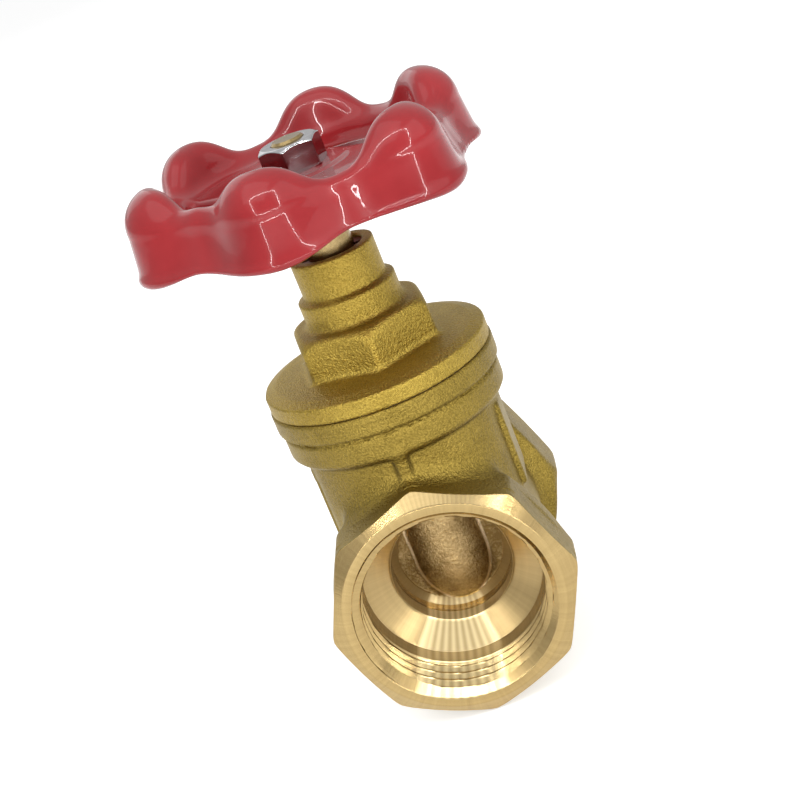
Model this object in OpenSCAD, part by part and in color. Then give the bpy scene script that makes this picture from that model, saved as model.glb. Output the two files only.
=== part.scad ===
// Gate valve with a non-rising stem, female pipe thread at both ends.
// The pipe runs along Y, the stem points up along Z, and Z = 0 is the
// lowest corner of the octagonal ends. All sizes are in millimetres.

/* [Ports] */
// End face to end face along the pipe
face_to_face = 48; // [46:1:70]
// Octagonal ends, across flats
hub_af = 39; // [37.5:0.5:46]
// Length of each octagonal end
hub_len = 10.5; // [7:0.5:12]
// How far the octagon's corners are drawn in at their inner end
hub_back_trim = 1.4; // [0.4:0.1:1.6]
// Radial width of the turned end face outside the thread
face_land = 1.6; // [0.8:0.1:2]
// Slope of the turned chamfer behind the end face
hub_chamfer_angle = 32; // [20:1:45]
// Pipe thread, diameter over the thread roots
thread_major_d = 33.25; // [32:0.05:34.5]
// Pipe thread, diameter inside the thread crests
thread_minor_d = 30.29; // [29:0.05:31.5]
// Pipe thread pitch
thread_pitch = 2.309; // [1.5:0.001:3]
// Flat left on each thread crest, along the pipe
crest_w = 0.5; // [0.2:0.05:0.8]
// Flat left at each thread root, along the pipe
root_w = 0.36; // [0.2:0.02:0.6]
// How far the mouth is opened beyond the thread roots
mouth_room = 0.2; // [0:0.05:0.5]
// Least length of the conical mouth ahead of the thread
lead_in = 1.6; // [1:0.1:2]
// Length of the plain bore behind the thread
plain_w = 3.4; // [2:0.1:4]
// Axial height of the conical shoulder
shoulder_h = 2.6; // [1.5:0.1:3]
// Metal between the shoulder and the gate cavity
shoulder_wall = 1.7; // [1:0.1:2.5]
// Flow passage between shoulder and seat
throat_d = 20.6; // [17:0.2:21]

/* [Body] */
// Wall of the gate chamber beside the gate
chamber_wall = 3.1; // [2.5:0.1:4.5]
// Wall of the gate chamber toward the ports
port_wall = 4.5; // [3:0.1:5]
// Rounding of the upright chamber edges
chamber_edge_r = 5; // [2:0.5:8]
// Bonnet collar diameter
collar_d = 39.2; // [38:0.2:46]
// Height of the collar ring
collar_h = 3.7; // [2:0.1:5]
// Height of the band below the collar ring
band_h = 5; // [3:0.1:6]
// Shallow groove between ring and band
collar_groove = 0.8; // [0.4:0.1:1.5]
// Width of the gasket seat outside the bonnet thread
collar_wall = 2.9; // [2:0.1:3.5]
// How far the round neck under the band lies inside the collar
neck_inset = 2; // [1.6:0.1:3]
// Width of the parting rib under the collar
rib_w = 2; // [1:0.1:3]
// Width of the raised side pad along the pipe
pad_w = 11; // [6:0.5:14]
// Height of the raised side pad
pad_h = 15; // [8:0.5:18]
// How far the side pad stands out
pad_t = 0.7; // [0.3:0.1:1.5]

/* [Gate] */
// Gate thickness at the pipe axis
gate_t = 10.6; // [10.2:0.1:12]
// Slope of each seating face from upright
wedge_angle = 3; // [1:0.5:4]
// Width of the seat ring around the flow passage
seat_w = 2; // [1.2:0.1:2.4]
// Depth of the hollow inside the gate's seat ring
gate_recess = 0.9; // [0.3:0.1:1]
// Half width of the swell over the stem bore
swell_w = 6; // [3:0.5:8]
// Radius of the boss that takes the stem thread
boss_r = 6.4; // [5.6:0.1:7]
// Length of stem thread inside the closed gate
thread_grip = 7.2; // [5:0.2:10]
// Width of the guide ribs beside the gate
guide_w = 3; // [2:0.1:4]
// How far the guide ribs stand into the gate's grooves
guide_h = 1.9; // [1:0.1:2.2]

/* [Stem] */
// Stem diameter
stem_d = 8; // [7:0.1:8.6]
// Rise of the gate for one turn of the stem
stem_lead = 3; // [2:0.25:4]
// How far the stem's foot stays above the flow passage
foot_room = 0.4; // [0.2:0.1:1]
// Depth of the stem thread
stem_thread_depth = 0.8; // [0.4:0.1:1]
// Thrust collar diameter
thrust_d = 10.7; // [10:0.1:11]
// Thrust collar height
thrust_h = 2; // [1.2:0.1:3]
// Square for the handwheel, across flats
square_af = 6.2; // [5.6:0.1:7]
// Thread for the handwheel nut
nut_thread_d = 5.6; // [4.5:0.1:6]
// How far the stem end stands above the nut
stem_proud = 0.4; // [0:0.1:2]

/* [Bonnet] */
// How far the bonnet's flange lies inside the edge of the collar
flange_inset = 0.2; // [0:0.1:1]
// Flange thickness at its edge
flange_t = 2.8; // [2:0.1:4]
// Rise of the flange from its edge to the hexagon
flange_dome = 0.8; // [0.2:0.1:1.5]
// Bonnet hexagon, across flats
bonnet_hex_af = 22; // [20:0.5:26]
// Bonnet hexagon height
bonnet_hex_h = 7.2; // [4:0.1:8]
// Turn of the hexagon about the stem
bonnet_hex_turn = 9; // [0:1:59]
// Lower neck diameter
neck_low_d = 16.8; // [16:0.1:20]
// Upper neck diameter
neck_top_d = 14.4; // [14:0.1:16]
// Upper neck height
neck_top_h = 6.6; // [4:0.1:8]
// Length of the bonnet thread in the collar
spigot_len = 6.2; // [4:0.1:8]
// Length of the plain stem bearing
bearing_len = 5.2; // [3:0.1:8]
// Gasket thickness
gasket_t = 0.3; // [0.2:0.05:1]
// How far the open gate rises past the gasket
bonnet_entry = 0.4; // [0:0.1:2]

/* [Stem seal] */
// Thrust washer thickness
washer_t = 0.5; // [0.3:0.1:1]
// Height of one packing ring
packing_h = 1.1; // [0.8:0.1:2]
// Height of the gland follower
follower_h = 1; // [0.6:0.1:2]
// Height of the gland nut
gland_h = 2.2; // [1.5:0.1:4]
// Width of the spanner slots in the gland nut
gland_slot_w = 1.4; // [0.8:0.1:2]
// How far the gland nut lies below the neck's top
gland_sunk = 0.6; // [0.2:0.1:2]

/* [Handwheel] */
// Diameter over the lobes
wheel_d = 60; // [54:1:80]
// Radius of each lobe, seen from above
lobe_r = 9; // [8:0.5:11]
// Distance from the stem to the hollow between lobes
valley_dist = 25.2; // [24:0.2:26]
// Turn of the first lobe from X
lobe_turn = 21; // [0:1:59]
// Free stem between the neck and the wheel
wheel_gap = 8.6; // [4:0.2:14]
// Height of the wheel's hub
wheel_hub_h = 5.4; // [4:0.1:8]
// Diameter of the wheel's hub
wheel_hub_d = 16; // [12:0.5:18]
// Thickness of the wheel's web
web_t = 3; // [2:0.1:4]
// Width of the bar left between the two windows
bar_w = 18; // [16.5:0.5:24]
// Inside diameter of the rim at the web
rim_in_d = 44; // [40:0.5:46]
// Height of the lobes above the web
lobe_rise = 7.1; // [5:0.1:9]
// How far the crown of the lobes draws in toward the top
crown_w = 7.5; // [3:0.1:8]
// Height of the rim above the web between lobes
valley_rise = 2.2; // [1:0.1:4]
// Depth of the rim below the web's top
rim_drop = 6.6; // [4:0.1:8]
// How far the skirt stays inside the lobes at the rim's foot
skirt_step = 2.8; // [0.5:0.1:3]
// Height of the straight edge at the skirt's foot
skirt_edge = 1.2; // [0.5:0.1:2]
// How far the rim's inside leans out toward its top
rim_flare = 2; // [0.5:0.1:3]
// Wall of the hollow underside
rim_wall = 3; // [2:0.1:3.5]
// Handwheel nut, across flats
nut_af = 9.4; // [8.5:0.1:13]
// Turn of the handwheel nut about the stem
nut_turn = 20; // [0:1:59]
// How far the nut's round end faces lie inside its flats
nut_bevel = 0.25; // [0.1:0.05:0.5]
// Slope of the nut's bevels
nut_bevel_angle = 32; // [20:1:40]
// Handwheel nut height
nut_h = 5; // [3:0.1:6]

/* [Clearances] */
// Turning fit of the stem, on the radius
run_clear = 0.06; // [0.02:0.01:0.1]
// Face to face gap beside turning pieces
face_clear = 0.06; // [0.02:0.01:0.15]
// Screwed and seated fits, on the radius
fit_clear = 0.05; // [0.02:0.01:0.1]
// Gap between gate face and seat when closed
seat_clear = 0.18; // [0.05:0.01:0.3]
// Room around the sliding gate
gate_clear = 0.7; // [0.4:0.05:1.2]
// Room at each guide rib
guide_clear = 0.35; // [0.2:0.05:0.6]

/* [Hidden] */
$fn = 96;
brass_cast = "#b39a35";
brass_turned = "#e0c48c";
octagon = 8;
hexagon = 6;
lobes = 6;
packing_rings = 3;
// Lobe that the bar between the windows points to
bar_lobe = 2;
// Overlap that makes cutters pass clean through
eps = 0.5;

// Pipe and port, distances along the pipe counted from the stem axis
hub_corner_r = hub_af / 2 / cos(180 / octagon);
pipe_z = hub_corner_r;
face_y = face_to_face / 2;
hub_start_y = face_y - hub_len;
throat_r = throat_d / 2;
minor_r = thread_minor_d / 2;
major_r = thread_major_d / 2;
mouth_r = major_r + mouth_room;
end_face_r = major_r + face_land;
chamfer_back = (hub_corner_r - end_face_r) * tan(hub_chamfer_angle);

// Gate and its travel, heights counted from the pipe axis
gate_r = throat_r + seat_w;
lift = throat_r + gate_r;
slope = tan(wedge_angle);
stem_foot_z = throat_r + foot_room;
boss_top_z = stem_foot_z + thread_grip;
gate_half_top = gate_t / 2 + boss_top_z * slope;
bore_r = stem_d / 2 + run_clear;
bore_floor_z = stem_foot_z - lift - gate_clear;
groove_x = gate_r - guide_h;

// Chamber around the gate
cavity_x = gate_r + gate_clear;
cavity_y = gate_half_top + gate_clear;
chamber_x = cavity_x + chamber_wall;
chamber_y = cavity_y + port_wall;
shoulder_in_y = cavity_y + shoulder_wall;
shoulder_out_y = shoulder_in_y + shoulder_h;
thread_end_y = shoulder_out_y + plain_w;
thread_turns = floor((face_y - lead_in - thread_end_y) / thread_pitch);
flank_w = (thread_pitch - crest_w - root_w) / 2;

// Collar, gasket and bonnet thread
collar_r = collar_d / 2;
body_neck_r = collar_r - neck_inset;
flange_r = collar_r - flange_inset;
spigot_r = flange_r - collar_wall;
seam_z = lift + gate_r - bonnet_entry;
collar_top_z = seam_z - gasket_t;
ring_foot_z = collar_top_z - collar_h;
band_foot_z = ring_foot_z - collar_groove - band_h;
spigot_foot_z = seam_z - spigot_len;
mouth_floor_z = spigot_foot_z - gate_clear;
open_chord = sqrt(max(0, gate_r * gate_r - pow(spigot_foot_z - lift, 2)));
spigot_in_r = norm([open_chord, gate_t / 2 + (spigot_foot_z - lift) * slope]) + gate_clear;

// Bonnet, stem seal and stem, stacked upward
flange_top_z = seam_z + flange_t;
hex_foot_z = flange_top_z + flange_dome;
hex_top_z = hex_foot_z + bonnet_hex_h;
boss_room_r = boss_r + gate_clear;
bearing_foot_z = boss_top_z + lift + gate_clear;
thrust_seat_z = bearing_foot_z + bearing_len;
thrust_foot_z = thrust_seat_z + washer_t + face_clear;
thrust_top_z = thrust_foot_z + thrust_h;
upper_washer_z = thrust_top_z + face_clear;
packing_z = upper_washer_z + washer_t;
follower_z = packing_z + packing_rings * packing_h;
gland_z = follower_z + follower_h;
neck_top_z = gland_z + gland_h + gland_sunk;
neck_step_z = neck_top_z - neck_top_h;
box_r = thrust_d / 2 + run_clear;
wheel_seat_z = neck_top_z + wheel_gap;
web_top_z = wheel_seat_z + wheel_hub_h;
nut_top_z = web_top_z + nut_h;
stem_top_z = nut_top_z + stem_proud;
stem_r = stem_d / 2;
nut_thread_r = nut_thread_d / 2;

// Handwheel outline: lobe arcs joined by hollow arcs that touch them
wheel_r = wheel_d / 2;
lobe_dist = wheel_r - lobe_r;
lobe_step = 360 / lobes;
half_step = lobe_step / 2;
valley_gap = pow(lobe_r, 2) - pow(lobe_dist, 2) - pow(valley_dist, 2)
             + 2 * lobe_dist * cos(half_step) * valley_dist;
valley_r = valley_gap / (2 * (valley_dist - lobe_dist * cos(half_step) - lobe_r));
valley_centre = valley_dist + valley_r;
rim_foot_z = web_top_z - rim_drop;
rim_top_z = web_top_z + lobe_rise;
rim_in_r = rim_in_d / 2;
saddle_r = 13;
// How far the hollow arcs cut into the lobe arcs, so that they cross cleanly
arc_cross = 0.1;
// How far the crown stands outside the lobes
crown_room = 0.4;
// Turn from one slope of the crown to the next
crown_step = 30;

// Lifts a shape that is drawn about the pipe axis to its place
module above_base() {
  translate([0, 0, pipe_z])
    children();
}

// Turns a shape drawn along Z to run along the pipe, toward -Y
module along_pipe() {
  rotate([90, 0, 0])
    children();
}

// Repeats a front shape at the back end
module both_ends() {
  children();
  mirror([0, 1, 0])
    children();
}

// Ring between two radii, standing at height z
module ring(r_in, r_out, z, h) {
  translate([0, 0, z])
    difference() {
      cylinder(r = r_out, h = h);
      translate([0, 0, -eps])
        cylinder(r = r_in, h = h + 2 * eps);
    }
}

// Slab whose two faces lean apart upward, half thickness t at the axis
module wedge_slab(t, w, low, high) {
  rotate([0, 90, 0])
    translate([0, 0, -w])
      linear_extrude(2 * w)
        polygon([[-high, t + high * slope], [-low, t + low * slope],
                 [-low, -t - low * slope], [-high, -t - high * slope]]);
}

// Rounded rectangle seen from above
module rounded_plan(x, y, r) {
  square([2 * x, 2 * (y - r)], center = true);
  square([2 * (x - r), 2 * y], center = true);
  for (sx = [-1, 1], sy = [-1, 1])
    translate([sx * (x - r), sy * (y - r)])
      circle(r);
}

// Octagonal end with its turned chamfer, blended into the chamber
module hub_outside() {
  along_pipe() {
    intersection() {
      translate([0, 0, hub_start_y])
        cylinder(r = hub_corner_r, h = hub_len, $fn = octagon);
      rotate_extrude()
        polygon([[0, hub_start_y], [hub_corner_r - hub_back_trim, hub_start_y],
                 [hub_corner_r + eps, hub_start_y + hub_len / 2],
                 [hub_corner_r + eps, face_y - chamfer_back],
                 [hub_corner_r, face_y - chamfer_back], [end_face_r, face_y], [0, face_y]]);
    }
    rotate_extrude()
      polygon([[0, 0], [chamber_x, 0], [chamber_x, chamber_y],
               [hub_af / 2, hub_start_y], [hub_af / 2, hub_start_y + eps],
               [0, hub_start_y + eps]]);
  }
}

// Everything that is machined into one end, down to the gate cavity
module port_bore() {
  along_pipe()
    rotate_extrude()
      polygon(concat(
        [[0, 0], [throat_r, 0], [throat_r, shoulder_in_y], [minor_r, shoulder_out_y]],
        [for (i = [0 : thread_turns - 1])
          let (y = thread_end_y + i * thread_pitch)
            each [[minor_r, y], [major_r, y + flank_w], [major_r, y + flank_w + root_w],
                  [minor_r, y + thread_pitch - crest_w]]],
        [[minor_r, thread_end_y + thread_turns * thread_pitch], [mouth_r, face_y],
         [mouth_r, face_y + eps], [0, face_y + eps]]));
}

// Seat ring round the flow passage, cut back to the wedge
module seat_ring() {
  difference() {
    along_pipe()
      ring(throat_r, gate_r, 0, shoulder_in_y);
    wedge_slab(gate_t / 2 + seat_clear, chamber_x, -chamber_x, chamber_x);
  }
}

// Hollow in which the gate slides, open to the bonnet
module gate_cavity() {
  along_pipe()
    translate([0, 0, -cavity_y])
      cylinder(r = cavity_x, h = 2 * cavity_y);
  translate([-cavity_x, -cavity_y, 0])
    cube([2 * cavity_x, 2 * cavity_y, mouth_floor_z + eps]);
  translate([0, 0, mouth_floor_z])
    cylinder(r = spigot_r + fit_clear, h = seam_z);
}

// Upright ribs that keep the gate from turning
module guide_ribs() {
  for (side = [-1, 1])
    translate([side * (groove_x + guide_clear + chamber_x) / 2, 0, mouth_floor_z / 2])
      cube([chamber_x - groove_x - guide_clear, guide_w, mouth_floor_z], center = true);
}

// Collar ring, groove and band below it
module collar_outside() {
  edge = collar_groove / 2;
  rotate_extrude()
    polygon([[0, band_foot_z - edge], [chamber_x - eps, band_foot_z - band_h / 2],
             [collar_r - 3 * edge, band_foot_z], [collar_r - 2 * edge, band_foot_z + 2 * edge],
             [collar_r - edge, ring_foot_z - 3 * edge], [collar_r - 2 * edge, ring_foot_z - edge],
             [collar_r, ring_foot_z + edge], [collar_r, collar_top_z - edge],
             [collar_r - edge, collar_top_z], [0, collar_top_z]]);
}

// Outside of the chamber with its parting ribs and side pads
module chamber_outside() {
  linear_extrude(ring_foot_z)
    rounded_plan(chamber_x, chamber_y, chamber_edge_r);
  intersection() {
    cylinder(r = body_neck_r, h = ring_foot_z);
    translate([-chamber_x, -collar_r, 0])
      cube([2 * chamber_x, collar_d, ring_foot_z]);
  }
  along_pipe()
    translate([0, 0, -chamber_y])
      cylinder(r = chamber_x, h = 2 * chamber_y);
  translate([-rib_w / 2, -body_neck_r - rib_w / 2, 0])
    cube([rib_w, 2 * body_neck_r + rib_w, band_foot_z]);
  translate([-chamber_x - pad_t, -pad_w / 2, band_foot_z - pad_h - 2 * pad_t])
    cube([2 * (chamber_x + pad_t), pad_w, pad_h]);
}

module valve_body() {
  color(brass_cast)
    above_base()
      difference() {
        union() {
          difference() {
            union() {
              both_ends()
                hub_outside();
              chamber_outside();
              collar_outside();
            }
            gate_cavity();
          }
          both_ends()
            seat_ring();
          intersection() {
            guide_ribs();
            chamber_outside();
          }
        }
        both_ends()
          intersection() {
            port_bore();
            along_pipe()
              translate([0, 0, gate_t / 4])
                cylinder(r = hub_corner_r, h = face_to_face);
          }
      }
}

module bonnet_gasket() {
  color("#3a3326")
    above_base()
      ring(spigot_r + fit_clear, flange_r - gasket_t, collar_top_z, gasket_t);
}

// Outside of the bonnet: thread, domed flange and stepped neck
module bonnet_outside() {
  edge = flange_dome / 2;
  rotate_extrude()
    polygon([[0, spigot_foot_z], [spigot_r - edge, spigot_foot_z], [spigot_r, spigot_foot_z + edge],
             [spigot_r, seam_z], [flange_r, seam_z], [flange_r, flange_top_z - edge],
             [flange_r - edge, flange_top_z], [bonnet_hex_af / 2, hex_foot_z],
             [neck_low_d / 2 + edge, hex_top_z], [neck_low_d / 2, hex_top_z + edge],
             [neck_low_d / 2 - edge, neck_step_z - edge], [neck_low_d / 2 - 2 * edge, neck_step_z],
             [neck_top_d / 2, neck_step_z], [neck_top_d / 2, neck_top_z - edge],
             [neck_top_d / 2 - edge, neck_top_z], [0, neck_top_z]]);
  intersection() {
    translate([0, 0, seam_z])
      rotate([0, 0, bonnet_hex_turn - 90])
        cylinder(d = bonnet_hex_af / cos(180 / hexagon), h = hex_top_z - seam_z, $fn = hexagon);
    rotate_extrude()
      polygon([[0, seam_z], [bonnet_hex_af, seam_z], [bonnet_hex_af, hex_top_z],
               [bonnet_hex_af / cos(180 / hexagon) / 2, hex_top_z - 2 * edge],
               [bonnet_hex_af / 2 - edge, hex_top_z], [0, hex_top_z]]);
  }
}

// Room for the open gate, stem bearing and stuffing box
module bonnet_inside() {
  rotate_extrude()
    polygon([[0, 0], [spigot_in_r, 0], [spigot_in_r, seam_z], [boss_room_r, hex_foot_z],
             [boss_room_r, bearing_foot_z], [bore_r, bearing_foot_z], [bore_r, thrust_seat_z],
             [box_r, thrust_seat_z], [box_r, neck_top_z - gland_sunk],
             [box_r + gland_sunk / 2, neck_top_z + eps], [0, neck_top_z + eps]]);
}

module bonnet() {
  color(brass_cast)
    above_base()
      difference() {
        bonnet_outside();
        bonnet_inside();
      }
}

// Hollow face inside the seat ring, with the swell over the stem bore
module gate_face_hollow() {
  swell_r = (pow(swell_w, 2) + pow(gate_recess, 2)) / (2 * gate_recess);
  difference() {
    along_pipe()
      translate([0, 0, gate_t / 2 - gate_recess])
        cylinder(r = throat_r - gate_recess, h = gate_t);
    translate([0, swell_r - gate_t / 2, 0])
      rotate([-2 * wedge_angle, 0, 0])
        translate([0, 0, -wheel_d])
          cylinder(r = swell_r, h = 2 * wheel_d);
  }
}

module gate_wedge() {
  color(brass_cast)
    above_base()
      difference() {
        intersection() {
          union() {
            along_pipe()
              translate([0, 0, -gate_half_top])
                cylinder(r = gate_r, h = 2 * gate_half_top);
            cylinder(r = boss_r, h = boss_top_z);
          }
          wedge_slab(gate_t / 2, gate_r, -gate_r, boss_top_z);
        }
        both_ends()
          gate_face_hollow();
        translate([0, 0, bore_floor_z])
          cylinder(r = bore_r, h = boss_top_z - bore_floor_z + eps);
        for (side = [-1, 1])
          translate([side * (groove_x + gate_r), 0, 0])
            cube([2 * gate_r, guide_w + 2 * guide_clear, 4 * gate_r], center = true);
      }
}

// Stem outline with its thread rings, from the foot to the thrust collar
function stem_thread(from_z, to_z) =
  let (turns = floor((to_z - from_z) / stem_lead), flank = stem_thread_depth / 4)
    [for (i = [0 : turns - 1])
      let (z = from_z + i * stem_lead)
        each [[stem_r, z + flank], [stem_r, z + stem_lead / 2 - flank],
              [stem_r - stem_thread_depth, z + stem_lead / 2 + flank],
              [stem_r - stem_thread_depth, z + stem_lead - flank]]];

module stem() {
  thread_from_z = stem_foot_z + stem_thread_depth;
  color(brass_turned)
    above_base() {
      rotate_extrude()
        polygon(concat(
          [[0, stem_foot_z], [stem_r - stem_thread_depth, stem_foot_z]],
          stem_thread(thread_from_z, bearing_foot_z),
          [[stem_r, bearing_foot_z], [stem_r, thrust_foot_z], [thrust_d / 2, thrust_foot_z],
           [thrust_d / 2, thrust_top_z], [stem_r, thrust_top_z], [stem_r, wheel_seat_z],
           [nut_thread_r, wheel_seat_z], [nut_thread_r, stem_top_z - stem_proud],
           [nut_thread_r - stem_proud, stem_top_z], [0, stem_top_z]]));
      intersection() {
        translate([-square_af / 2, -square_af / 2, wheel_seat_z - eps])
          cube([square_af, square_af, wheel_hub_h - fit_clear + eps]);
        cylinder(r = stem_r, h = web_top_z);
      }
    }
}

module lower_thrust_washer() {
  color("whitesmoke")
    above_base()
      ring(bore_r, box_r - fit_clear, thrust_seat_z, washer_t);
}

module upper_thrust_washer() {
  color("whitesmoke")
    above_base()
      ring(bore_r, box_r - fit_clear, upper_washer_z, washer_t);
}

// One ring of the packing, counted from below
module packing_ring(i) {
  color("dimgray")
    above_base()
      ring(bore_r, box_r - fit_clear, packing_z + i * packing_h, packing_h);
}

module gland_follower() {
  color(brass_turned)
    above_base()
      ring(bore_r, box_r - fit_clear, follower_z, follower_h);
}

module gland_nut() {
  color(brass_turned)
    above_base()
      difference() {
        ring(bore_r, box_r - fit_clear, gland_z, gland_h);
        translate([-box_r, -gland_slot_w / 2, gland_z + gland_h / 2])
          cube([2 * box_r, gland_slot_w, gland_h]);
      }
}

// Lobed outline drawn inward by a wall: lobe arcs, cut by the arcs between them
module wheel_outline(inset) {
  hollow = valley_centre * [cos(half_step), sin(half_step)];
  lobe = [lobe_dist, 0];
  joint = lobe + (hollow - lobe) * (lobe_r - inset) / (lobe_r + valley_r);
  difference() {
    union() {
      circle(norm(joint));
      for (i = [0 : lobes - 1])
        rotate([0, 0, i * lobe_step])
          translate(lobe)
            circle(lobe_r - inset);
    }
    for (i = [0 : lobes - 1])
      rotate([0, 0, i * lobe_step])
        translate(hollow)
          circle(valley_r + inset + arc_cross);
  }
}

// Section whose crown slopes round the top of the lobes
module rim_section() {
  rim_h = rim_top_z - rim_foot_z;
  inner = wheel_r + crown_room - crown_w;
  polygon(concat(
    [[0, 0], [inner + crown_w, 0]],
    [for (a = [0 : crown_step : 90])
      [inner + crown_w * cos(a), rim_foot_z + rim_h * sin(a)]],
    [[0, rim_top_z]]));
}

// Two windows left open between the bar and the rim
module wheel_windows() {
  for (side = [-1, 1])
    intersection() {
      translate([0, 0, rim_foot_z - eps])
        cylinder(r = rim_in_r - eps, h = rim_top_z);
      translate([-rim_in_r, side * (bar_w + rim_in_d) / 2 - rim_in_r, 0])
        cube([rim_in_d, rim_in_d, 2 * rim_top_z]);
    }
}

// Solid lobed rim before it is hollowed
module rim_blank() {
  intersection() {
    translate([0, 0, rim_foot_z])
      linear_extrude(rim_top_z - rim_foot_z)
        wheel_outline(0);
    rotate_extrude()
      rim_section();
  }
}

// Skirt that spreads from the hollows to the foot of the rim
module rim_skirt() {
  foot_r = wheel_r - skirt_step;
  rotate_extrude()
    polygon([[0, rim_foot_z], [foot_r, rim_foot_z], [foot_r, rim_foot_z + skirt_edge],
             [valley_dist - skirt_step, web_top_z], [0, web_top_z]]);
}

// Dips in the rim's top between the lobes
module rim_saddles() {
  for (i = [0 : lobes - 1])
    rotate([0, 0, half_step + i * lobe_step])
      translate([rim_in_r - rim_wall, 0, web_top_z + valley_rise + saddle_r])
        rotate([0, 90, 0])
          cylinder(r = saddle_r, h = wheel_r);
}

module handwheel() {
  side = square_af + 2 * fit_clear;
  color("crimson")
    above_base()
      difference() {
        union() {
          rotate([0, 0, lobe_turn])
            difference() {
              union() {
                rim_blank();
                rim_skirt();
              }
              translate([0, 0, web_top_z])
                cylinder(r1 = rim_in_r, r2 = rim_in_r + rim_flare, h = lobe_rise + eps);
              translate([0, 0, rim_foot_z - eps])
                linear_extrude(rim_drop - web_t + eps)
                  wheel_outline(rim_wall);
              rim_saddles();
              rotate([0, 0, bar_lobe * lobe_step])
                wheel_windows();
            }
          translate([0, 0, wheel_seat_z])
            cylinder(d = wheel_hub_d, h = wheel_hub_h);
        }
        translate([-side / 2, -side / 2, 0])
          cube([side, side, stem_top_z]);
      }
}

module handwheel_nut() {
  corner_r = nut_af / 2 / cos(180 / hexagon);
  face_r = nut_af / 2 - nut_bevel;
  reach = corner_r + nut_bevel;
  bevel_h = (reach - face_r) * tan(nut_bevel_angle);
  color("silver")
    above_base()
      difference() {
        intersection() {
          translate([0, 0, web_top_z])
            rotate([0, 0, nut_turn])
              cylinder(r = corner_r, h = nut_h, $fn = hexagon);
          rotate_extrude()
            polygon([[0, web_top_z], [face_r, web_top_z], [reach, web_top_z + bevel_h],
                     [reach, nut_top_z - bevel_h], [face_r, nut_top_z], [0, nut_top_z]]);
        }
        cylinder(r = nut_thread_r + fit_clear, h = stem_top_z);
      }
}

valve_body();
bonnet();
bonnet_gasket();
gate_wedge();
stem();
lower_thrust_washer();
upper_thrust_washer();
packing_ring(0);  // packing_ring_lower
packing_ring(1);  // packing_ring_middle
packing_ring(2);  // packing_ring_upper
gland_follower();
gland_nut();
handwheel();
handwheel_nut();
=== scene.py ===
import bpy
import math
import numpy as np
from mathutils import Matrix, Vector


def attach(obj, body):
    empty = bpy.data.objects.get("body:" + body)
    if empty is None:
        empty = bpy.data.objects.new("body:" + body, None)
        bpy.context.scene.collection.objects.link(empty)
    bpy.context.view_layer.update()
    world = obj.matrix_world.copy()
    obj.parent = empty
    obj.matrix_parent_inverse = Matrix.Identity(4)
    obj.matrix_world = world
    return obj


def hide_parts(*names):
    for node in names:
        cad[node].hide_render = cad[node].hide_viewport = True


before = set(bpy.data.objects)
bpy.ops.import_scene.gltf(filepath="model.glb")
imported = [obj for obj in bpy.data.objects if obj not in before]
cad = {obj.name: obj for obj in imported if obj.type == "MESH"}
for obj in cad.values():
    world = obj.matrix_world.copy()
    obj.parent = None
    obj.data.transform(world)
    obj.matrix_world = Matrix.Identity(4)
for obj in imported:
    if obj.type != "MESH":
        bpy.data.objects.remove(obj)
scene = bpy.context.scene
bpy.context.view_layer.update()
mm = 0.001
pipeZ = 21.1063  # pipe axis above the floor, in mm
print("frame loaded")


# small tools for node trees
def addNode(tree, kind, **settings):
    node = tree.nodes.new(kind)
    for key, value in settings.items():
        setattr(node, key, value)
    return node


def feed(tree, socket, value):
    if isinstance(value, bpy.types.NodeSocket):
        tree.links.new(value, socket)
    else:
        socket.default_value = value


def calc(tree, how, *values):
    node = addNode(tree, "ShaderNodeMath", operation=how)
    for socket, value in zip(node.inputs, values):
        feed(tree, socket, value)
    return node.outputs[0]


def reach(tree, a, b):
    return calc(tree, "SQRT", calc(tree, "ADD", calc(tree, "MULTIPLY", a, a), calc(tree, "MULTIPLY", b, b)))


def awayFrom(tree, value, middle):
    return calc(tree, "ABSOLUTE", calc(tree, "SUBTRACT", value, middle))


def remap(tree, value, lowIn, highIn, lowOut, highOut):
    node = addNode(tree, "ShaderNodeMapRange")
    for socket, item in zip(node.inputs, (value, lowIn, highIn, lowOut, highOut)):
        feed(tree, socket, item)
    return node.outputs[0]


def noise(tree, place, scale, detail, rough):
    node = addNode(tree, "ShaderNodeTexNoise")
    feed(tree, node.inputs["Vector"], place)
    node.inputs["Scale"].default_value = scale
    node.inputs["Detail"].default_value = detail
    node.inputs["Roughness"].default_value = rough
    return node.outputs["Fac"]


def mixColour(tree, share, first, second):
    node = addNode(tree, "ShaderNodeMix", data_type="RGBA")
    feed(tree, node.inputs["Factor"], share)
    for socket, colour in ((node.inputs[6], first), (node.inputs[7], second)):
        feed(tree, socket, colour if isinstance(colour, bpy.types.NodeSocket) else (*colour, 1))
    return node.outputs[2]


def bumpFrom(tree, height, strength, distance):
    node = addNode(tree, "ShaderNodeBump")
    node.inputs["Strength"].default_value = strength
    node.inputs["Distance"].default_value = distance
    feed(tree, node.inputs["Height"], height)
    return node.outputs[0]


def newMaterial(name, **inputs):
    material = bpy.data.materials.new(name)
    material.use_nodes = True
    tree = material.node_tree
    shader = tree.nodes["Principled BSDF"]
    for key, value in inputs.items():
        shader.inputs[key].default_value = value
    place = addNode(tree, "ShaderNodeTexCoord").outputs["Object"]
    return material, tree, shader, place


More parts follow.
